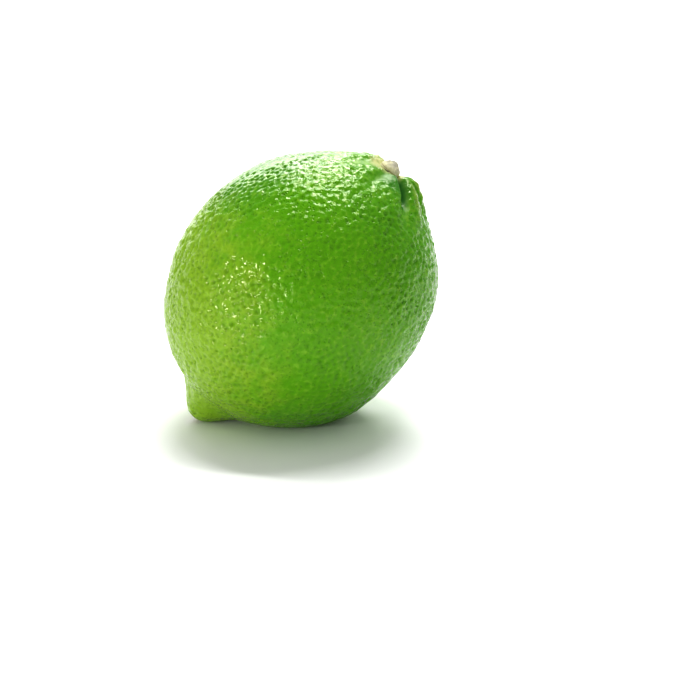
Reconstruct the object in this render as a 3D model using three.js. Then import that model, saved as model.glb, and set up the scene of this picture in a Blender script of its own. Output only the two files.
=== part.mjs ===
// A whole ripening lime with its dry stem button, at rest on a small flat spot.
// Units are millimetres and +Z is up. The origin is on the resting face, straight below the fruit's middle.
// The fruit is shaped in its own frame, whose +Z runs from the blossom nipple to the stem.
import * as THREE from "three";
import { mergeVertices } from "three/addons/utils/BufferGeometryUtils.js";

// Driving dimensions of the fruit.
const FRUIT_DIAMETER = 54;
const BODY_LENGTH = 62.4; // between the poles, without the nipple and the stem shoulder
const LEAN_FROM_UPRIGHT = 42; // degrees that the stem leans towards +X
const REST_HEIGHT = 28.4; // from the resting face up to the fruit's middle
const REST_EDGE = 0.45; // how far above and below the resting face the skin rounds into it

// The blossom end: a blunt nipple with a small scar at its tip.
const NIPPLE = { height: 4.9, spread: 4.6, bluntness: 2.7 };
const NIPPLE_OFFSET = 1.2; // from the long axis, towards the resting side
const NIPPLE_SCAR = { depth: 0.5, spread: 1.1 };

// The stem end: a raised shoulder round a shallow cup, above a slight waist.
const STEM_OFFSET = -2.4; // from the long axis, away from the resting side
const SHOULDER = { height: 2.6, spread: 7.6 };
const WAIST = { depth: 0.6, radius: 16, spread: 5 };
const CUP = { depth: 2.4, spread: 2.7 };

// The shoulder's folds at an angle in degrees round the stem, deepest at a distance from its middle.
const FOLD_START = 3.3;
const FOLD_LENGTH = 5.2;
const FOLDS = [
  // the dip that one side of the shoulder has
  { angle: -115, distance: 4, depth: 1.25, width: 5 },
  // furrows
  { angle: -158, distance: 6, depth: 0.6, width: 1.6 },
  { angle: -116, distance: 6.5, depth: 0.5, width: 1.2 },
  { angle: -66, distance: 5.4, depth: 2.2, width: 1.1 },
  { angle: -27, distance: 7, depth: 1.0, width: 1.0 },
  { angle: 14, distance: 6, depth: 0.9, width: 1.4 },
  { angle: 52, distance: 6, depth: 1.2, width: 1.3 },
  { angle: 95, distance: 6, depth: 0.8, width: 1.6 },
  { angle: 148, distance: 6, depth: 1.2, width: 1.4 },
  // ribs
  { angle: -45, distance: 8, depth: -0.5, width: 1.6 },
  { angle: -8, distance: 7.5, depth: -0.4, width: 2.2 },
  { angle: 0, distance: 4.8, depth: -0.5, width: 1.5 },
  { angle: 122, distance: 7.5, depth: -0.4, width: 2.4 },
];

// The body is a little fuller low on the resting side, and gently uneven all over.
const BELLY = { height: 1.1, spread: 10, place: new THREE.Vector3(22, 0, -14) };
const SWELLS = [
  // height, waves round the fruit, phase in radians, waves from end to end
  { height: 0.22, around: 2, phase: 0.6, along: 1 },
  { height: 0.14, around: 3, phase: 2.1, along: 2 },
  { height: 0.1, around: 5, phase: 4.0, along: 1 },
];

// The skin's oil glands, drawn larger than life as small pits.
const SKIN_DETAIL = 22;
const CROWDING = 0.12; // how much closer the skin's points stand at the two ends
const PIT_SPACING = 2.8;
const PIT_DEPTH = { least: 0.28, most: 0.48 };
const SMOOTH_NEAR = { button: 4.2, restingFace: 1.2 };

// The stem button: a five-lobed calyx under the stub of the stalk, which is worn to a dome.
const BUTTON_OFFSET = -2.9; // from the long axis, a little to one side of the cup's middle
const BUTTON_GAP = 0.3;
const CALYX = { radius: 2.6, lobe: 0.25, lobes: 5, thickness: 0.45 };
const STUB = { radius: 2.25, foot: 0.6, height: 1.85, wear: 0.65, flute: 0.12, flutes: 9 };
const BUTTON_SEGMENTS = 40;

// How close two points of a surface's seam lie to count as one, and the step that a slope is measured over.
const SEAM = 1e-4;
const SLOPE_STEP = 0.05;

const bodyRadius = FRUIT_DIAMETER / 2;
const halfLength = BODY_LENGTH / 2;
const lean = THREE.MathUtils.degToRad(LEAN_FROM_UPRIGHT);
const upInFruit = new THREE.Vector3(-Math.sin(lean), 0, Math.cos(lean));

// A bell of height 1 at distance 0, which falls away over the spread.
const bell = (distance, spread, bluntness = 2) => Math.exp(-(Math.abs(distance / spread) ** bluntness));

// The same draw every time: a small linear congruential generator.
function seededRandom(seed) {
  let state = seed;
  return () => {
    state = (state * 1664525 + 1013904223) % 4294967296;
    return state / 4294967296;
  };
}

// How deep the shoulder's folds are at a distance and an angle from the stem.
function foldDepth(distance, angle) {
  const begun = 1 - bell(distance, FOLD_START);
  let depth = 0;
  for (const fold of FOLDS) {
    const turn = angle - THREE.MathUtils.degToRad(fold.angle);
    const across = 2 * distance * Math.sin(turn / 2);
    depth += fold.depth * bell(across, fold.width) * bell(distance - fold.distance, FOLD_LENGTH);
  }
  return depth * begun;
}

// How far the stem end stands above the plain body, along the axis.
function stemEndRise(x, y) {
  const distance = Math.hypot(x - STEM_OFFSET, y);
  const angle = Math.atan2(y, x - STEM_OFFSET);
  return (
    SHOULDER.height * bell(distance, SHOULDER.spread) -
    WAIST.depth * bell(distance - WAIST.radius, WAIST.spread) -
    CUP.depth * bell(distance, CUP.spread) -
    foldDepth(distance, angle)
  );
}

// How far the blossom end stands below the plain body, along the axis.
function nippleDrop(x, y) {
  const distance = Math.hypot(x - NIPPLE_OFFSET, y);
  const scar = NIPPLE_SCAR.depth * bell(distance, NIPPLE_SCAR.spread);
  return NIPPLE.height * bell(distance, NIPPLE.spread, NIPPLE.bluntness) - scar;
}

// How far the body swells or sinks, by the angle round the axis and the share of the half length.
function swellAt(azimuth, lengthShare) {
  let swell = 0;
  for (const { height, around, phase, along } of SWELLS) {
    swell += height * Math.sin(around * azimuth + phase) * Math.cos(2 * along * lengthShare + phase);
  }
  return swell;
}

// A point of the skin without its pits, in the direction given as a unit vector.
function skinPoint(direction) {
  const azimuth = Math.atan2(direction.y, direction.x);
  const ringShare = Math.hypot(direction.x, direction.y);
  const ring = ringShare * (bodyRadius + ringShare * swellAt(azimuth, direction.z));
  const point = new THREE.Vector3(ring * Math.cos(azimuth), ring * Math.sin(azimuth), 0);
  point.z = halfLength * direction.z;
  point.addScaledVector(direction, BELLY.height * bell(point.distanceTo(BELLY.place), BELLY.spread));
  point.z += direction.z > 0 ? stemEndRise(point.x, point.y) : -nippleDrop(point.x, point.y);
  return point;
}

// Presses the skin flat where it would reach below the resting face, with a rounded edge.
function pressFlat(point) {
  const height = point.dot(upInFruit) + REST_HEIGHT;
  let lifted = Math.max(height, 0);
  if (Math.abs(height) < REST_EDGE) lifted = (height + REST_EDGE) ** 2 / (4 * REST_EDGE);
  point.addScaledVector(upInFruit, lifted - height);
}

// Deepens scattered points of the skin into pits, none of them near another.
function addPits(positions, normals) {
  const random = seededRandom(7);
  const order = Array.from({ length: positions.count }, (_, index) => ({ index, draw: random() }));
  order.sort((a, b) => a.draw - b.draw);
  const stem = new THREE.Vector3(STEM_OFFSET, 0, halfLength);
  const pits = [];
  for (const { index } of order) {
    const point = new THREE.Vector3().fromBufferAttribute(positions, index);
    if (point.distanceTo(stem) < SMOOTH_NEAR.button) continue;
    if (point.dot(upInFruit) + REST_HEIGHT < SMOOTH_NEAR.restingFace) continue;
    if (pits.some((pit) => pit.point.distanceTo(point) < PIT_SPACING)) continue;
    pits.push({ index, point });
  }
  for (const { index, point } of pits) {
    const normal = new THREE.Vector3().fromBufferAttribute(normals, index);
    point.addScaledVector(normal, -THREE.MathUtils.lerp(PIT_DEPTH.least, PIT_DEPTH.most, random()));
    positions.setXYZ(index, point.x, point.y, point.z);
  }
}

// The surface of a geometry class with its seams closed: only positions, with shared vertices merged.
function closedSurface(geometry) {
  geometry.deleteAttribute("normal");
  geometry.deleteAttribute("uv");
  return mergeVertices(geometry, SEAM);
}

// A direction with its angle from the axis eased towards the nearer end, so points crowd there.
function crowdedDirection(direction) {
  const polar = Math.acos(THREE.MathUtils.clamp(direction.z, -1, 1));
  const azimuth = Math.atan2(direction.y, direction.x);
  const eased = polar - CROWDING * Math.sin(2 * polar);
  const across = Math.sin(eased);
  return new THREE.Vector3(across * Math.cos(azimuth), across * Math.sin(azimuth), Math.cos(eased));
}

function fruitGeometry() {
  const geometry = closedSurface(new THREE.IcosahedronGeometry(1, SKIN_DETAIL));
  const positions = geometry.getAttribute("position");
  for (let i = 0; i < positions.count; i++) {
    const direction = new THREE.Vector3().fromBufferAttribute(positions, i).normalize();
    const point = skinPoint(crowdedDirection(direction));
    pressFlat(point);
    positions.setXYZ(i, point.x, point.y, point.z);
  }
  geometry.computeVertexNormals();
  addPits(positions, geometry.getAttribute("normal"));
  geometry.computeVertexNormals();
  return geometry;
}

// The height of the stem end at a point across it, before any pits.
function stemEndHeight(x, y) {
  const bodyShare = Math.sqrt(1 - (x ** 2 + y ** 2) / bodyRadius ** 2);
  return halfLength * bodyShare + stemEndRise(x, y);
}

// The height that clears the stem end by the button's gap, measured square to its slope.
function clearHeight(x, y) {
  const slopeX = (stemEndHeight(x + SLOPE_STEP, y) - stemEndHeight(x - SLOPE_STEP, y)) / (2 * SLOPE_STEP);
  const slopeY = (stemEndHeight(x, y + SLOPE_STEP) - stemEndHeight(x, y - SLOPE_STEP)) / (2 * SLOPE_STEP);
  return stemEndHeight(x, y) + BUTTON_GAP * Math.hypot(1, slopeX, slopeY);
}

// The button's section, from under its middle round to the middle of its top: radius, height above the cup.
function buttonSection() {
  const underside = [0, 0.35, 0.7, 0.96].map((share) => new THREE.Vector2(CALYX.radius * share, 0));
  const rim = [
    new THREE.Vector2(CALYX.radius, CALYX.thickness * 0.5),
    new THREE.Vector2(CALYX.radius * 0.95, CALYX.thickness),
  ];
  const dome = [0, 0.15, 0.35, 0.55, 0.75, 0.9, 1].map((share) => {
    const radius = STUB.radius * (1 - share) ** STUB.wear;
    return new THREE.Vector2(radius, THREE.MathUtils.lerp(STUB.foot, STUB.height, share));
  });
  return [...underside, ...rim, ...dome];
}

function buttonGeometry() {
  const geometry = closedSurface(new THREE.LatheGeometry(buttonSection(), BUTTON_SEGMENTS));
  geometry.rotateX(Math.PI / 2); // LatheGeometry turns its section about Y, and the fruit's axis is Z
  const positions = geometry.getAttribute("position");
  const cupMiddle = clearHeight(BUTTON_OFFSET, 0);
  for (let i = 0; i < positions.count; i++) {
    const point = new THREE.Vector3().fromBufferAttribute(positions, i);
    const angle = Math.atan2(point.y, point.x);
    const radius = Math.hypot(point.x, point.y);
    const onCalyx = THREE.MathUtils.smoothstep(radius, STUB.radius, CALYX.radius);
    const lobe = CALYX.lobe * Math.cos(CALYX.lobes * angle) * onCalyx;
    const flute = STUB.flute * Math.cos(STUB.flutes * angle) * (radius / CALYX.radius);
    const grown = radius + lobe + flute;
    const x = BUTTON_OFFSET + grown * Math.cos(angle);
    const y = grown * Math.sin(angle);
    // The underside and the calyx follow the cup, and the stub's top is level.
    const risen = THREE.MathUtils.clamp(point.z / STUB.height, 0, 1);
    const under = THREE.MathUtils.lerp(clearHeight(x, y), cupMiddle, risen);
    positions.setXYZ(i, x, y, under + point.z);
  }
  geometry.computeVertexNormals();
  return geometry;
}

const greenPeel = new THREE.MeshStandardMaterial({ color: 0x6fa51e, roughness: 0.38, metalness: 0 });
const dryStem = new THREE.MeshStandardMaterial({ color: 0xb3a684, roughness: 0.85, metalness: 0 });

const fruit = new THREE.Mesh(fruitGeometry(), greenPeel);
fruit.name = "fruit";
const stemButton = new THREE.Mesh(buttonGeometry(), dryStem);
stemButton.name = "stem_button";

const leaningLime = new THREE.Group();
leaningLime.add(fruit, stemButton);
leaningLime.rotation.y = lean;
leaningLime.position.z = REST_HEIGHT;

const lime = new THREE.Group();
lime.add(leaningLime);

export default lime;
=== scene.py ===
import bmesh
import bpy
from math import atan2, cos, hypot, radians, sin, sqrt
from mathutils import Matrix, Vector


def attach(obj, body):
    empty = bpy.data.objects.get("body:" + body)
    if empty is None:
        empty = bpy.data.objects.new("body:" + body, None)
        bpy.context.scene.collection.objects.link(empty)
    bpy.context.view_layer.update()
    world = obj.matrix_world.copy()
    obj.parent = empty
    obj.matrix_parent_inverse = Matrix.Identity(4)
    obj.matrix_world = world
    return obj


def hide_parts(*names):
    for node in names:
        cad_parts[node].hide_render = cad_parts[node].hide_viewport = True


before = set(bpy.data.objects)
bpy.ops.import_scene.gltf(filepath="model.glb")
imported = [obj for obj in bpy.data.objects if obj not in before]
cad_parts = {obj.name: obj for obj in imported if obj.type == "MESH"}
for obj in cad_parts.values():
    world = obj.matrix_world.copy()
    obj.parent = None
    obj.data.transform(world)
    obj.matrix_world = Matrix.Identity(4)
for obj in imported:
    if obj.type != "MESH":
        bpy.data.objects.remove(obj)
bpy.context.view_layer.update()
mm = 0.001

# the fruit is shaped upright, nipple down, then leant over and set on the floor
lime = dict(
    radius=27 * mm,
    halfLength=31.2 * mm,
    lean=radians(42),  # the stem leans towards +X
    restHeight=28.4 * mm,  # the body's middle above the floor
    roundLevels=5,  # subdivisions while the ends are shaped
    fineLevels=2,  # and before the folds and the glands
)


def say(words):
    print("lime:", words)


def deselectEverything():
    if bpy.context.object and bpy.context.object.mode != "OBJECT":
        bpy.ops.object.mode_set(mode="OBJECT")
    bpy.ops.object.select_all(action="DESELECT")


def workOn(piece):
    deselectEverything()
    piece.select_set(True)
    bpy.context.view_layer.objects.active = piece


def applyPlace():
    bpy.ops.object.transform_apply(location=True, rotation=True, scale=True)


def applyModifier(piece, kind, **settings):
    workOn(piece)
    modifier = piece.modifiers.new(kind.lower(), kind)
    for name, value in settings.items():
        setattr(modifier, name, value)
    bpy.ops.object.modifier_apply(modifier=modifier.name)


def subdivide(piece, levels):
    applyModifier(piece, "SUBSURF", levels=levels, render_levels=levels)


def selectWhere(piece, test):
    # picks vertices by their place, in edit mode
    mesh = bmesh.from_edit_mesh(piece.data)
    for vertex in mesh.verts:
        vertex.select = test(vertex.co)
    mesh.select_flush_mode()
    bmesh.update_edit_mesh(piece.data)


def selectFaces(piece, test):
    # picks faces by their normal, in edit mode
    mesh = bmesh.from_edit_mesh(piece.data)
    for face in mesh.faces:
        face.select = test(face.normal)
    mesh.select_flush(True)
    bmesh.update_edit_mesh(piece.data)


def push(piece, test, by, reach, falloff="SMOOTH"):
    # a pull with proportional editing on
    selectWhere(piece, test)
    bpy.ops.transform.translate(
        value=by,
        use_proportional_edit=True,
        proportional_edit_falloff=falloff,
        proportional_size=reach,
    )


def outwards(degrees):
    # the level direction at that angle, from +X towards +Y
    return Vector((cos(radians(degrees)), sin(radians(degrees)), 0))


def levelGap(first, second):
    return hypot(first.x - second.x, first.y - second.y)


def addNode(tree, kind, inputs, **settings):
    node = tree.nodes.new(kind)
    for name, value in settings.items():
        setattr(node, name, value)
    for name, value in inputs.items():
        if isinstance(value, bpy.types.NodeSocket):
            tree.links.new(value, node.inputs[name])
        else:
            node.inputs[name].default_value = value
    return node


def calc(tree, operation, first, second):
    return addNode(tree, "ShaderNodeMath", {0: first, 1: second}, operation=operation).outputs[0]


def add(tree, first, second):
    return calc(tree, "ADD", first, second)


def times(tree, first, second):
    return calc(tree, "MULTIPLY", first, second)


def centred(tree, fraction):
    # from 0 to 1 becomes from -0.5 to 0.5
    return calc(tree, "SUBTRACT", fraction, 0.5)


def ease(tree, value, start, end, low=0.0, high=1.0):
    # a soft step from low at start to high at end
    inputs = {"Value": value, "From Min": start, "From Max": end, "To Min": low, "To Max": high}
    return addNode(tree, "ShaderNodeMapRange", inputs, interpolation_type="SMOOTHSTEP").outputs["Result"]


def noise(tree, place, scale, detail, roughness):
    inputs = {"Vector": place, "Scale": scale, "Detail": detail, "Roughness": roughness}
    return addNode(tree, "ShaderNodeTexNoise", inputs).outputs["Fac"]


def distanceTo(tree, place, spot):
    inputs = {0: place, 1: spot}
    return addNode(tree, "ShaderNodeVectorMath", inputs, operation="DISTANCE").outputs["Value"]


def axisOf(tree, vector, axis):
    return addNode(tree, "ShaderNodeSeparateXYZ", {0: vector}).outputs[axis]


# the two ends and the belly: an offset is along X from the fruit's axis, a radius is from the stem's middle,
# and a reach is how far round it each pull carries the skin along
ends = dict(
    nippleOffset=1.2 * mm,
    nippleHeight=4.9 * mm,
    nippleReach=8.0 * mm,
    scarDepth=0.5 * mm,
    scarReach=1.8 * mm,
    stemOffset=-2.4 * mm,
    shoulderHeight=2.6 * mm,
    shoulderReach=12.7 * mm,
    waistDepth=0.6 * mm,
    waistRadius=16 * mm,
    waistReach=8.3 * mm,
    cupDepth=1.3 * mm,
    cupReach=4.5 * mm,
    dip=[(-115, 4, 1.25, 5)],  # one side of the shoulder is lower; written as the folds are
    belly=Vector((22, 0, -14)) * mm,  # the side that it lies on is fuller
    bellyHeight=1.1 * mm,
    bellyReach=16.7 * mm,
)
# how far from its middle each pull takes hold
grips = dict(end=0.9 * mm, belly=3 * mm, waist=0.6 * mm, cup=0.3 * mm, scar=0.4 * mm)

# folds round the stem, in degrees and mm: angle, distance, depth, half width; a rib's depth is negative
folds = [
    (-158, 6, 0.6, 1.6),
    (-116, 6.5, 0.5, 1.2),
    (-66, 4.2, 1.8, 0.9),
    (-66, 5.6, 1.1, 0.9),
    (-66, 7.4, 0.9, 1.0),
    (-66, 9.6, 0.5, 1.4),
    (-66, 12, 0.2, 1.8),
    (-27, 7, 1.0, 1.0),
    (14, 6, 0.9, 1.4),
    (52, 6, 1.2, 1.3),
    (95, 6, 0.8, 1.6),
    (148, 6, 1.2, 1.4),
    (-45, 8, -0.5, 1.6),
    (-8, 7.5, -0.4, 2.2),
    (0, 4.8, -0.5, 1.5),
    (122, 7.5, -0.4, 2.4),
]
foldPasses = [(4.4, 0.4), (3.0, 0.35), (1.5, 0.25)]  # half length of the pass in mm, its share of the depth
foldLine = 0.15 * mm  # half width of the line that is pressed
foldSpread = 1.67  # reach of the press, in half widths of the fold
foldSmoothing = dict(radius=12 * mm, factor=0.5, repeat=4)


def fromStem(place):
    return hypot(place.x - ends["stemOffset"], place.y)


def shapeBody():
    say("body")
    bpy.ops.mesh.primitive_cube_add(size=2 * lime["radius"])
    body = bpy.context.object
    body.name = body.data.name = "limeSkin"
    subdivide(body, lime["roundLevels"])
    bpy.ops.object.mode_set(mode="EDIT")
    bpy.ops.mesh.select_all(action="SELECT")
    bpy.ops.transform.tosphere(value=1)
    bpy.ops.object.mode_set(mode="OBJECT")
    # the ball stands on a corner of the cube, so its finest faces are at the stem and the nipple
    onCorner = Matrix.Rotation(atan2(sqrt(2), 1), 4, "Y") @ Matrix.Rotation(radians(45), 4, "Z")
    body.rotation_euler = onCorner.to_euler()
    applyPlace()
    size = body.data.vertices[0].co.length
    wide, tall = lime["radius"] / size, lime["halfLength"] / size
    bpy.ops.object.mode_set(mode="EDIT")
    bpy.ops.mesh.select_all(action="SELECT")
    bpy.ops.transform.resize(value=(wide, wide, tall))
    return body


def shapeEnds(body):
    say("ends")
    workOn(body)
    bpy.ops.object.mode_set(mode="EDIT")
    nipple = Vector((ends["nippleOffset"], 0, -lime["halfLength"]))
    push(
        body,
        lambda p: (p - nipple).length < grips["end"],
        (0, 0, -ends["nippleHeight"]),
        ends["nippleReach"],
    )
    push(
        body,
        lambda p: (p - ends["belly"]).length < grips["belly"],
        ends["belly"].normalized() * ends["bellyHeight"],
        ends["bellyReach"],
    )
    push(
        body,
        lambda p: p.z > 0 and abs(fromStem(p) - ends["waistRadius"]) < grips["waist"],
        (0, 0, -ends["waistDepth"]),
        ends["waistReach"],
    )
    push(
        body,
        lambda p: p.z > 0 and fromStem(p) < grips["end"],
        (0, 0, ends["shoulderHeight"]),
        ends["shoulderReach"],
    )
    bpy.ops.object.mode_set(mode="OBJECT")
    subdivide(body, lime["fineLevels"])


def skinTree(name):
    # geometry nodes that start from the skin: the tree, the skin and each place on it
    tree = bpy.data.node_groups.new(name, "GeometryNodeTree")
    tree.interface.new_socket("Geometry", in_out="INPUT", socket_type="NodeSocketGeometry")
    tree.interface.new_socket("Geometry", in_out="OUTPUT", socket_type="NodeSocketGeometry")
    skin = tree.nodes.new("NodeGroupInput").outputs[0]
    place = tree.nodes.new("GeometryNodeInputPosition").outputs[0]
    return tree, skin, place


def applyTree(piece, tree, result):
    tree.links.new(result, tree.nodes.new("NodeGroupOutput").inputs[0])
    applyModifier(piece, "NODES", node_group=tree)


def markSkin(tree, skin, name, value):
    # keeps a number for each vertex under the name given
    inputs = {"Geometry": skin, "Name": name, "Value": value}
    return addNode(tree, "GeometryNodeStoreNamedAttribute", inputs).outputs[0]


def markOn(tree, name):
    return addNode(tree, "GeometryNodeInputNamedAttribute", {"Name": name}).outputs["Attribute"]


def keepHeight(body):
    tree, skin, place = skinTree("uncut")
    applyTree(body, tree, markSkin(tree, skin, "uncut", axisOf(tree, place, "Z")))


def keepFurrowDepth(body):
    # in millimetres; a rib's is negative
    tree, skin, place = skinTree("furrow")
    sunk = calc(tree, "SUBTRACT", markOn(tree, "uncut"), axisOf(tree, place, "Z"))
    applyTree(body, tree, markSkin(tree, skin, "furrow", calc(tree, "DIVIDE", sunk, mm)))


def dent(body, lines):
    # presses a groove along each line out from the stem, or raises a rib
    for angle, middle, depth, halfWidth in lines:
        along = outwards(angle).xy

        def inPass(place, halfLength):
            spot = Vector((place.x - ends["stemOffset"], place.y))
            onLine = abs(spot.dot(along) - middle * mm) < halfLength * mm
            return place.z > 0 and onLine and abs(spot.cross(along)) < foldLine

        for halfLength, share in foldPasses:
            push(
                body,
                lambda p: inPass(p, halfLength),
                (0, 0, -depth * share * mm),
                halfWidth * foldSpread * mm,
            )


def cutFolds(body):
    say("folds")
    workOn(body)
    bpy.ops.object.mode_set(mode="EDIT")
    push(
        body,
        lambda p: p.z > 0 and fromStem(p) < grips["cup"],
        (0, 0, -ends["cupDepth"]),
        ends["cupReach"],
    )
    dent(body, ends["dip"])
    bpy.ops.object.mode_set(mode="OBJECT")
    keepHeight(body)
    bpy.ops.object.mode_set(mode="EDIT")
    dent(body, folds)
    tip = Vector((ends["nippleOffset"], 0, -lime["halfLength"] - ends["nippleHeight"]))
    push(
        body,
        lambda p: (p - tip).length < grips["scar"],
        (0, 0, ends["scarDepth"]),
        ends["scarReach"],
    )
    selectWhere(body, lambda p: p.z > 0 and fromStem(p) < foldSmoothing["radius"])
    bpy.ops.mesh.vertices_smooth(factor=foldSmoothing["factor"], repeat=foldSmoothing["repeat"])
    bpy.ops.object.mode_set(mode="OBJECT")
    keepFurrowDepth(body)


def lean(place):
    # from the upright fruit's own frame to where it lies
    return Matrix.Rotation(lime["lean"], 4, "Y") @ place + Vector((0, 0, lime["restHeight"]))


def leanOver(piece):
    workOn(piece)
    piece.rotation_euler = (0, lime["lean"], 0)
    piece.location = (0, 0, lime["restHeight"])
    applyPlace()


# the flat spot; its edge is eased, but not on the nipple's side
restingSpot = dict(easedBelow=0.5 * mm, nippleSide=-16 * mm, factor=0.5, repeat=6, flatBelow=0.02 * mm)


def flattenBelow(body, height):
    selectWhere(body, lambda p: p.z < height)
    bpy.ops.transform.resize(value=(1, 1, 0), center_override=(0, 0, 0))


def setDown(body):
    say("set down")
    leanOver(body)
    bpy.ops.object.mode_set(mode="EDIT")
    flattenBelow(body, 0)
    selectWhere(body, lambda p: p.z < restingSpot["easedBelow"] and p.x > restingSpot["nippleSide"])
    bpy.ops.mesh.vertices_smooth(factor=restingSpot["factor"], repeat=restingSpot["repeat"])
    flattenBelow(body, restingSpot["flatBelow"])
    bpy.ops.object.mode_set(mode="OBJECT")
    bpy.ops.object.shade_smooth()


# oil glands, and the low uneven ground that they sit in
# spots are in the fruit's frame, and they and the reaches round them are in mm
# four numbers are where a change starts and ends, and what it goes from and to
# a noise's three numbers are its scale, detail and roughness
glands = dict(
    spacing=1.18 * mm,
    crowd=6e6,  # tries a square metre, enough to fill the skin
    seed=11,
    radius=(0.55 * mm, 0.95 * mm),
    radiusSeed=1,
    depth=(0.08 * mm, 0.5 * mm),
    depthSeed=2,
    warpScale=700,
    warpDetail=1.0,
    warp=0.9 * mm,
    pebbleSpacing=1.65 * mm,
    pebbleSeed=5,
    pebbleRadius=1.05 * mm,
    pebbleHeight=0.19 * mm,
    swells=((540, 0.5 * mm), (130, 0.6 * mm)),  # scale and height
    swellDetail=1.0,
    swellRoughness=0.5,
    patchNoise=(75, 2.0, 0.5),
    patches=(0.36, 0.6, 0.25, 1.0),  # glands are shallower in patches
    offFloor=(0.1 * mm, 2.5 * mm),  # height; the resting spot stays flat
    upper=(14 * mm, 35 * mm, 0.1, 1.0),  # height; pebbles stand higher on the upper side
    stemReach=(2.5, 4.5, 0.25, 1.0),
    furrowReach=(0.1, 0.7),  # mm deep; the furrows are smooth
    calmSpot=Vector((-1.4, -5.2, 29.4)),  # the skin is smoother beside the stem, on the front
    calmReach=(2, 5.5),
    calmShare=0.4,
    evenSpot=Vector((-24.4, 2.8, 14.4)),  # the ground between the glands is flatter on top
    evenReach=(9, 16),
    evenShare=0.2,
    evenPits=1.5,  # and the glands are deeper there
)


def scatter(tree, skin, spacing, seed):
    inputs = {"Mesh": skin, "Distance Min": spacing, "Density Max": glands["crowd"], "Seed": seed}
    scattered = addNode(tree, "GeometryNodeDistributePointsOnFaces", inputs, distribute_method="POISSON")
    return scattered.outputs["Points"]


def gapTo(tree, points, place):
    inputs = {0: points, "Sample Position": place}
    return addNode(tree, "GeometryNodeProximity", inputs, target_element="POINTS").outputs["Distance"]


def warp(tree, place):
    # shifts each place a little, so that no gland is quite round
    inputs = {"Vector": place, "Scale": glands["warpScale"], "Detail": glands["warpDetail"]}
    shift = addNode(tree, "ShaderNodeTexNoise", inputs).outputs["Color"]
    inputs = {0: shift, 1: (0.5, 0.5, 0.5)}
    shift = addNode(tree, "ShaderNodeVectorMath", inputs, operation="SUBTRACT").outputs[0]
    inputs = {0: shift, "Scale": glands["warp"]}
    shift = addNode(tree, "ShaderNodeVectorMath", inputs, operation="SCALE").outputs[0]
    return addNode(tree, "ShaderNodeVectorMath", {0: place, 1: shift}, operation="ADD").outputs[0]


def pitSkin(body):
    say("glands")
    tree, skin, place = skinTree("peelRelief")
    height = axisOf(tree, place, "Z")
    normal = tree.nodes.new("GeometryNodeInputNormal").outputs[0]
    bent = warp(tree, place)

    def fromSpot(spot):
        return calc(tree, "DIVIDE", distanceTo(tree, place, lean(spot * mm)), mm)

    # how much relief there is at all, and how uneven the ground is
    stem = Vector((ends["stemOffset"], 0, lime["halfLength"])) / mm
    toCalm = fromSpot(glands["calmSpot"])
    toEven = fromSpot(glands["evenSpot"])
    relief = times(
        tree,
        ease(tree, height, *glands["offFloor"]),
        ease(tree, fromSpot(stem), *glands["stemReach"]),
    )
    relief = times(tree, relief, ease(tree, toCalm, *glands["calmReach"], glands["calmShare"], 1.0))
    relief = times(tree, relief, ease(tree, markOn(tree, "furrow"), *glands["furrowReach"], 1.0, 0.0))
    uneven = times(tree, relief, ease(tree, toEven, *glands["evenReach"], glands["evenShare"], 1.0))

    # glands
    points = scatter(tree, skin, glands["spacing"], glands["seed"])
    inputs = {0: points, "Sample Position": bent}
    nearest = addNode(tree, "GeometryNodeSampleNearest", inputs).outputs["Index"]

    def drawn(seed, low, high):
        # one number for each gland
        node = addNode(tree, "FunctionNodeRandomValue", {"ID": nearest, "Seed": seed}, data_type="FLOAT")
        node.inputs[2].default_value, node.inputs[3].default_value = low, high
        return node.outputs[1]

    radius = drawn(glands["radiusSeed"], *glands["radius"])
    pit = ease(tree, calc(tree, "DIVIDE", gapTo(tree, points, bent), radius), 1.0, 0.0)
    patches = ease(tree, noise(tree, place, *glands["patchNoise"]), *glands["patches"])
    pit = times(tree, pit, times(tree, patches, relief))
    depth = times(tree, pit, drawn(glands["depthSeed"], *glands["depth"]))
    depth = times(tree, depth, ease(tree, toEven, *glands["evenReach"], glands["evenPits"], 1.0))

    # pebbles and swells between them
    pebbles = scatter(tree, skin, glands["pebbleSpacing"], glands["pebbleSeed"])
    pebble = gapTo(tree, pebbles, bent)
    pebble = ease(tree, pebble, glands["pebbleRadius"], 0.0, 0.0, glands["pebbleHeight"])
    pebble = times(tree, pebble, ease(tree, height, *glands["upper"]))
    lift = calc(tree, "SUBTRACT", times(tree, pebble, uneven), depth)
    for scale, rise in glands["swells"]:
        swell = noise(tree, place, scale, glands["swellDetail"], glands["swellRoughness"])
        lift = add(tree, lift, times(tree, centred(tree, swell), times(tree, uneven, rise)))

    inputs = {0: normal, "Scale": lift}
    offset = addNode(tree, "ShaderNodeVectorMath", inputs, operation="SCALE").outputs[0]
    inputs = {"Geometry": markSkin(tree, skin, "gland", pit), "Offset": offset}
    applyTree(body, tree, addNode(tree, "GeometryNodeSetPosition", inputs).outputs[0])


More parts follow.
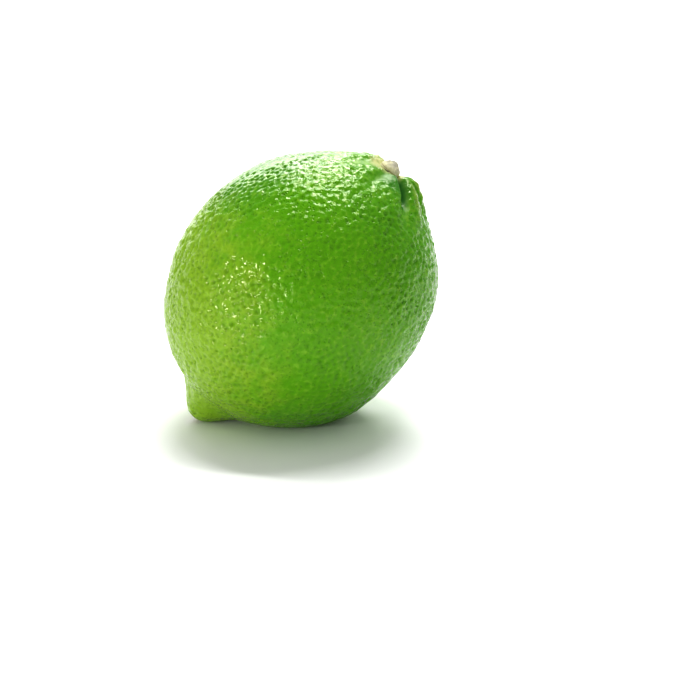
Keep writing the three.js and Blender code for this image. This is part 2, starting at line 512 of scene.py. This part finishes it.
# the dry stub of the stalk and its calyx, upright in the fruit's own frame
stub = dict(
    middle=-2.9 * mm,  # a little to one side of the cup's own middle
    foot=30.85 * mm,
    radius=2.4 * mm,
    height=2.5 * mm,
    rounding=(24, 14),  # segments and rings
    bedded=0.05 * mm,  # from the foot up to the dome's middle
    cutAt=0.1 * mm,  # above the foot
    calyxRadius=2.6 * mm,
    calyxThickness=0.42 * mm,
    calyxSides=40,
    calyxInsets=(0.25 * mm, 0.5 * mm),
    sepals=[(-150, 0.5), (-85, 0.7), (-8, 1.35), (55, 0.6), (118, 0.7)],  # degrees, mm
    sepalDrop=0.1 * mm,
    sepalGrip=0.35 * mm,
    sepalReach=1.3 * mm,
    chips=[  # degrees, distance and rise in mm
        (-150, 1.3, -0.5),
        (-95, 1.5, -0.35),
        (-20, 1.4, -0.55),
        (60, 1.2, -0.3),
        (140, 1.6, -0.45),
        (0, 0.5, 0.2),
    ],
    chipsAbove=0.3 * mm,
    chipGrip=0.4 * mm,
    chipReach=1.1 * mm,
    levels=2,
    grains=((1.2 * mm, 0.4 * mm), (0.45 * mm, 0.12 * mm)),  # size and height
)


def modelCalyx(foot):
    bpy.ops.mesh.primitive_cylinder_add(
        vertices=stub["calyxSides"],
        radius=stub["calyxRadius"],
        depth=stub["calyxThickness"],
        location=foot + Vector((0, 0, stub["calyxThickness"] / 2)),
    )
    calyx = bpy.context.object
    applyPlace()
    bpy.ops.object.mode_set(mode="EDIT")
    for degrees, reach in stub["sepals"]:
        edge = foot + outwards(degrees) * stub["calyxRadius"]
        push(
            calyx,
            lambda p: levelGap(p, edge) < stub["sepalGrip"],
            outwards(degrees) * reach * mm - Vector((0, 0, stub["sepalDrop"])),
            stub["sepalReach"],
        )
    selectFaces(calyx, lambda normal: abs(normal.z) > 0.5)
    for thickness in stub["calyxInsets"]:
        bpy.ops.mesh.inset(thickness=thickness)
    bpy.ops.object.mode_set(mode="OBJECT")
    return calyx


def modelDome(foot):
    segments, rings = stub["rounding"]
    bpy.ops.mesh.primitive_uv_sphere_add(
        segments=segments,
        ring_count=rings,
        radius=stub["radius"],
        location=foot + Vector((0, 0, stub["bedded"])),
    )
    dome = bpy.context.object
    dome.scale = (1, 1, stub["height"] / stub["radius"])
    applyPlace()
    bpy.ops.object.mode_set(mode="EDIT")
    bpy.ops.mesh.select_all(action="SELECT")
    bpy.ops.mesh.bisect(
        plane_co=foot + Vector((0, 0, stub["cutAt"])),
        plane_no=(0, 0, 1),
        clear_inner=True,
        use_fill=True,
    )
    for degrees, distance, rise in stub["chips"]:
        spot = foot + outwards(degrees) * distance * mm
        push(
            dome,
            lambda p: p.z > foot.z + stub["chipsAbove"] and levelGap(p, spot) < stub["chipGrip"],
            (0, 0, rise * mm),
            stub["chipReach"],
            "SHARP",
        )
    bpy.ops.object.mode_set(mode="OBJECT")
    return dome


def modelStub():
    say("stem stub")
    foot = Vector((stub["middle"], 0, stub["foot"]))
    piece = modelCalyx(foot)
    dome = modelDome(foot)
    workOn(piece)
    dome.select_set(True)
    bpy.ops.object.join()
    piece.name = piece.data.name = "stemStub"
    subdivide(piece, stub["levels"])
    for size, strength in stub["grains"]:
        grain = bpy.data.textures.new("grain", "CLOUDS")
        grain.noise_scale = size
        applyModifier(
            piece, "DISPLACE", texture=grain, texture_coords="LOCAL", strength=strength, mid_level=0.5
        )
    bpy.ops.object.shade_smooth()
    leanOver(piece)
    return piece


def newMaterial(name):
    material = bpy.data.materials.new(name)
    material.use_nodes = True
    return material, material.node_tree, material.node_tree.nodes["Principled BSDF"]


def fruitPlace(tree):
    # the fruit's own frame in millimetres: Z from the nipple to the stem
    inputs = {
        "Vector": tree.nodes.new("ShaderNodeTexCoord").outputs["Object"],
        "Location": (0, 0, lime["restHeight"]),
        "Rotation": (0, lime["lean"], 0),
        "Scale": (mm, mm, mm),
    }
    return addNode(tree, "ShaderNodeMapping", inputs, vector_type="TEXTURE").outputs[0]


def mixColour(tree, factor, first, second):
    node = addNode(tree, "ShaderNodeMix", {}, data_type="RGBA")
    for socket, value in ((node.inputs[0], factor), (node.inputs[6], first), (node.inputs[7], second)):
        if isinstance(value, bpy.types.NodeSocket):
            tree.links.new(value, socket)
        else:
            socket.default_value = (*value, 1)
    return node.outputs[2]


def addBump(tree, shader, height, distance, strength):
    bump = addNode(tree, "ShaderNodeBump", {"Height": height, "Distance": distance, "Strength": strength})
    tree.links.new(bump.outputs[0], shader.inputs["Normal"])


# spots, reaches, noises and sets of four numbers are as in glands, and a furrow's depth is in mm
peel = dict(
    deepGreen=(0.086, 0.30, 0.001),
    midGreen=(0.108, 0.33, 0.001),
    yellowGreen=(0.226, 0.393, 0.019),
    # the glands' darker green, which is also painted on top as shade
    glandAndShadeGreen=(0.02, 0.14, 0.001),
    netGreen=(0.32, 0.54, 0.05),
    # painted shade: the near-black green painted into the furrows and beside the groove
    paintedShadeGreen=(0.004, 0.14, 0.001),
    ribTan=(0.42, 0.47, 0.12),
    callus=(0.47, 0.49, 0.20),
    scarBrown=(0.20, 0.19, 0.04),
    broadNoise=(0.045, 2.0, 0.5),
    middlingNoise=(0.3, 4.0, 0.6),
    fineNoise=(0.9, 3.0, 0.6),
    ripening=(-0.64, 0, -0.77),  # the way it yellows
    broadShift=24,  # mm along it that the broad blotches shift the colours
    middlingShift=30,
    midReach=(-30, 0),  # mm along that way, from deep green to mid green
    yellowReach=(2, 22),
    paintedTopShade=(8, 20, 0.5, 0.0),  # painted shade: a deeper green is painted on top, where the light from above falls
    netGland=(0.12, 0.0, 0.0, 0.35),  # the paler net between the glands
    netPatches=(0.4, 0.7),
    stippleScale=1.35,
    stippleDot=(0.42, 0.1),
    stipplePatches=(0.35, 0.6, 0.2, 1.0),
    stippleShare=0.25,
    glandDark=(0.3, 0.9, 0.0, 0.22),
    # painted shade in the furrows, darker as they sink
    paintedFurrowShade=(0.3, 1.8, 0.0, 0.97),
    ribShare=(-0.12, -0.6, 0.0, 0.4),
    callusSpot=(-3.9, 0, 31.2),
    callusFray=4.0,
    callusReach=(7.2, 5.2),
    callusPatches=(0.3, 0.5, 0.5, 1.0),
    scarFray=1.5,
    scarReach=(3.4, 1.6, 0.0, 0.8),
    # painted shade beside the groove, round the calm spot
    paintedCalmShade=0.65,
    gloss=(0.3, 0.8, 0.12, 0.24),  # roughness, by the fine pattern
    stemDull=(6.5, 4.5, 0.0, 0.25),
    furrowDull=0.25,
    calmDull=0.15,
    cheekSpot=(-18.6, -21.2, -4.9),  # the skin is glossier here
    cheekReach=(15, 5),
    cheekGloss=-0.05,
    cheekGrain=0.45,
    furrowGrain=0.1,
    grainNoise=(1.1, 3.0, 0.6),
    grainDepth=0.12 * mm,
    grainStrength=0.8,
    waxIor=1.5,
    glossTint=(1, 0.92, 0.72, 1),
)


def makePeel():
    say("peel")
    material, tree, shader = newMaterial("limePeel")
    place = fruitPlace(tree)
    gland = addNode(tree, "ShaderNodeAttribute", {}, attribute_name="gland").outputs["Fac"]
    furrow = addNode(tree, "ShaderNodeAttribute", {}, attribute_name="furrow").outputs["Fac"]
    broad = noise(tree, place, *peel["broadNoise"])
    middling = noise(tree, place, *peel["middlingNoise"])
    fine = noise(tree, place, *peel["fineNoise"])
    toEven = distanceTo(tree, place, glands["evenSpot"])
    toCalm = distanceTo(tree, place, glands["calmSpot"])
    toCheek = distanceTo(tree, place, peel["cheekSpot"])
    toStem = distanceTo(tree, place, peel["callusSpot"])
    toStem = add(tree, toStem, times(tree, middling, peel["callusFray"]))
    tip = (ends["nippleOffset"] / mm, 0, -(lime["halfLength"] + ends["nippleHeight"]) / mm)
    toTip = add(tree, distanceTo(tree, place, tip), times(tree, fine, peel["scarFray"]))

    inputs = {0: place, 1: peel["ripening"]}
    ripe = addNode(tree, "ShaderNodeVectorMath", inputs, operation="DOT_PRODUCT").outputs["Value"]
    ripe = add(tree, ripe, times(tree, centred(tree, broad), peel["broadShift"]))
    ripe = add(tree, ripe, times(tree, centred(tree, middling), peel["middlingShift"]))
    net = times(tree, ease(tree, gland, *peel["netGland"]), ease(tree, fine, *peel["netPatches"]))
    stipple = addNode(tree, "ShaderNodeTexVoronoi", {"Vector": place, "Scale": peel["stippleScale"]})
    stipple = ease(tree, stipple.outputs["Distance"], *peel["stippleDot"])
    stipple = times(tree, stipple, ease(tree, middling, *peel["stipplePatches"]))
    healed = times(tree, ease(tree, toStem, *peel["callusReach"]), ease(tree, fine, *peel["callusPatches"]))

    # each colour lies over those before it
    layers = [
        (ease(tree, ripe, *peel["midReach"]), "midGreen"),
        (ease(tree, ripe, *peel["yellowReach"]), "yellowGreen"),
        # painted shade: the top is painted darker
        (ease(tree, toEven, *peel["paintedTopShade"]), "glandAndShadeGreen"),
        (net, "netGreen"),
        (times(tree, stipple, peel["stippleShare"]), "glandAndShadeGreen"),
        (ease(tree, gland, *peel["glandDark"]), "glandAndShadeGreen"),
        # painted shade in the furrows
        (ease(tree, furrow, *peel["paintedFurrowShade"]), "paintedShadeGreen"),
        (ease(tree, furrow, *peel["ribShare"]), "ribTan"),
        (healed, "callus"),
        (ease(tree, toTip, *peel["scarReach"]), "scarBrown"),
        # painted shade beside the groove
        (ease(tree, toCalm, *glands["calmReach"], peel["paintedCalmShade"], 0.0), "paintedShadeGreen"),
    ]
    colour = peel["deepGreen"]
    for share, name in layers:
        colour = mixColour(tree, share, colour, peel[name])
    tree.links.new(colour, shader.inputs["Base Color"])

    roughness = ease(tree, fine, *peel["gloss"])
    for change in (
        ease(tree, toStem, *peel["stemDull"]),
        ease(tree, furrow, *glands["furrowReach"], 0.0, peel["furrowDull"]),
        ease(tree, toCalm, *glands["calmReach"], peel["calmDull"], 0.0),
        ease(tree, toCheek, *peel["cheekReach"], 0.0, peel["cheekGloss"]),
    ):
        roughness = add(tree, roughness, change)
    tree.links.new(roughness, shader.inputs["Roughness"])
    shader.inputs["IOR"].default_value = peel["waxIor"]
    shader.inputs["Specular Tint"].default_value = peel["glossTint"]

    grain = calc(tree, "SUBTRACT", noise(tree, place, *peel["grainNoise"]), stipple)
    for share in (
        ease(tree, furrow, *glands["furrowReach"], 1.0, peel["furrowGrain"]),
        ease(tree, toCalm, *glands["calmReach"], glands["calmShare"], 1.0),
        ease(tree, toEven, *glands["evenReach"], glands["evenShare"], 1.0),
        ease(tree, toCheek, *peel["cheekReach"], 1.0, peel["cheekGrain"]),
    ):
        grain = times(tree, grain, share)
    addBump(tree, shader, grain, peel["grainDepth"], peel["grainStrength"])
    return material


dryStem = dict(
    pale=(0.74, 0.71, 0.47),
    grey=(0.60, 0.58, 0.38),
    darkTop=(0.42, 0.40, 0.31),
    crack=(0.28, 0.24, 0.14),
    fibreStretch=(1, 1, 0.3),
    fibreNoise=(2.6, 4.0, 0.65),
    blotchNoise=(0.8, 2.0, 0.5),
    greyPatches=(0.35, 0.65),
    crackShare=(0.5, 0.3, 0.0, 0.3),  # by the fibres
    darkTopDepth=(1.7, 0.5),  # mm below the top
    darkTopPatches=(0.3, 0.5),
    rimReach=(3.0, 3.9),  # mm from the stub's foot; the calyx is darker at its rim
    roughness=(0.3, 0.7, 0.95, 0.75),
    shine=0.2,
    fibreDepth=0.08 * mm,
    fibreStrength=0.6,
)


def makeDryStem():
    say("dry stem")
    material, tree, shader = newMaterial("dryStem")
    place = fruitPlace(tree)
    stretched = addNode(tree, "ShaderNodeMapping", {"Vector": place, "Scale": dryStem["fibreStretch"]})
    fibres = noise(tree, stretched.outputs[0], *dryStem["fibreNoise"])
    blotches = noise(tree, place, *dryStem["blotchNoise"])
    top = (stub["foot"] + stub["height"]) / mm
    # the stub is darker in patches towards its top
    darkTop = ease(tree, axisOf(tree, place, "Z"), *(top - depth for depth in dryStem["darkTopDepth"]))
    darkTop = times(tree, darkTop, ease(tree, blotches, *dryStem["darkTopPatches"]))
    foot = (stub["middle"] / mm, 0, stub["foot"] / mm)
    layers = [
        (ease(tree, blotches, *dryStem["greyPatches"]), "grey"),
        (ease(tree, fibres, *dryStem["crackShare"]), "crack"),
        (darkTop, "darkTop"),
        (ease(tree, distanceTo(tree, place, foot), *dryStem["rimReach"]), "crack"),
    ]
    colour = dryStem["pale"]
    for share, name in layers:
        colour = mixColour(tree, share, colour, dryStem[name])
    tree.links.new(colour, shader.inputs["Base Color"])
    tree.links.new(ease(tree, fibres, *dryStem["roughness"]), shader.inputs["Roughness"])
    shader.inputs["Specular IOR Level"].default_value = dryStem["shine"]
    addBump(tree, shader, fibres, dryStem["fibreDepth"], dryStem["fibreStrength"])
    return material


deselectEverything()
limeSkin = shapeBody()
shapeEnds(limeSkin)
cutFolds(limeSkin)
setDown(limeSkin)
pitSkin(limeSkin)
limeSkin.data.materials.append(makePeel())
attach(limeSkin, "root")
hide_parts("fruit")

stemStub = modelStub()
stemStub.data.materials.append(makeDryStem())
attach(stemStub, "root")
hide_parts("stem_button")
say(f"{len(limeSkin.data.polygons)} and {len(stemStub.data.polygons)} faces")

studio = dict(
    azimuth=radians(-8),
    elevation=radians(18),
    distance=0.7,
    lens=173,
    nearest=0.01,
    right=9.2 * mm,  # the lime stands left of and above the picture's middle
    down=11.9 * mm,
    backdrop=1.0,
    fill=(0.45, 1.5),  # the room, and the white wall behind
    wallWidth=(0.78, 0.97),  # +Y part of the direction
    wallHeight=(0.42, 0.12),  # +Z part of the direction
    floorSize=1.2,
    floorTone=(0.86, 0.86, 0.86),
    floorRoughness=0.7,
)
# softboxes: where, size, watts
softboxes = [
    ((0.21, 0.55, 0.6), (0.5, 0.042), 2.3),  # the glints near the stem
    ((0.1, 0.22, 0.8), (0.45, 0.05), 3.1),  # the glints below them
    ((-0.04, 0.69, 0.4), (0.44, 0.26), 1.25),  # the white sheen on top
    ((-0.86, -0.2, 0.26), (0.25, 0.3), 0.12),  # faint specks far out on the cheek
    ((-0.74, -0.47, 0.2), (0.1, 0.1), 1.65),  # the bright specks on it
    ((-0.54, -0.72, 0.12), (0.05, 0.05), 0.45),  # and those nearer the middle
]


def placeCamera():
    azimuth, elevation = studio["azimuth"], studio["elevation"]
    back = Vector((sin(azimuth) * cos(elevation), -cos(azimuth) * cos(elevation), sin(elevation)))
    right = Vector((cos(azimuth), sin(azimuth), 0))
    aim = Vector((0, 0, lime["restHeight"])) + right * studio["right"] - back.cross(right) * studio["down"]
    bpy.ops.object.camera_add(location=aim + back * studio["distance"])
    view = bpy.context.object
    view.rotation_euler = (-back).to_track_quat("-Z", "Y").to_euler()
    view.data.lens = studio["lens"]
    view.data.clip_start = studio["nearest"]
    bpy.context.scene.camera = view


def placeSoftboxes():
    middle = Vector((0, 0, lime["restHeight"]))
    for spot, size, watts in softboxes:
        bpy.ops.object.light_add(type="AREA", location=spot)
        lamp = bpy.context.object
        lamp.data.shape = "RECTANGLE"
        lamp.data.size, lamp.data.size_y = size
        lamp.data.energy = watts
        lamp.rotation_euler = (middle - lamp.location).to_track_quat("-Z", "Y").to_euler()


def lightRoom():
    # the backdrop looks white, and it lights the fruit as a dim room with a white wall behind
    world = bpy.data.worlds.new("studio")
    world.use_nodes = True
    tree = world.node_tree
    background = tree.nodes["Background"]
    seen = tree.nodes.new("ShaderNodeLightPath").outputs["Is Camera Ray"]
    way = tree.nodes.new("ShaderNodeTexCoord").outputs["Generated"]
    wall = times(
        tree,
        ease(tree, axisOf(tree, way, "Y"), *studio["wallWidth"]),
        ease(tree, axisOf(tree, way, "Z"), *studio["wallHeight"]),
    )
    glow = ease(tree, wall, 0.0, 1.0, *studio["fill"])
    strength = addNode(tree, "ShaderNodeMix", {0: seen, 2: glow, 3: studio["backdrop"]}).outputs[0]
    tree.links.new(strength, background.inputs["Strength"])
    background.inputs["Color"].default_value = (1, 1, 1, 1)
    bpy.context.scene.world = world
    bpy.context.scene.view_settings.view_transform = "Standard"
    bpy.context.scene.view_settings.look = "High Contrast"


def layFloor():
    bpy.ops.mesh.primitive_plane_add(size=studio["floorSize"])
    floor = bpy.context.object
    floor.name = "floor"
    material, tree, shader = newMaterial("paleFloor")
    shader.inputs["Base Color"].default_value = (*studio["floorTone"], 1)
    shader.inputs["Roughness"].default_value = studio["floorRoughness"]
    floor.data.materials.append(material)


say("studio")
placeCamera()
placeSoftboxes()
lightRoom()
layFloor()
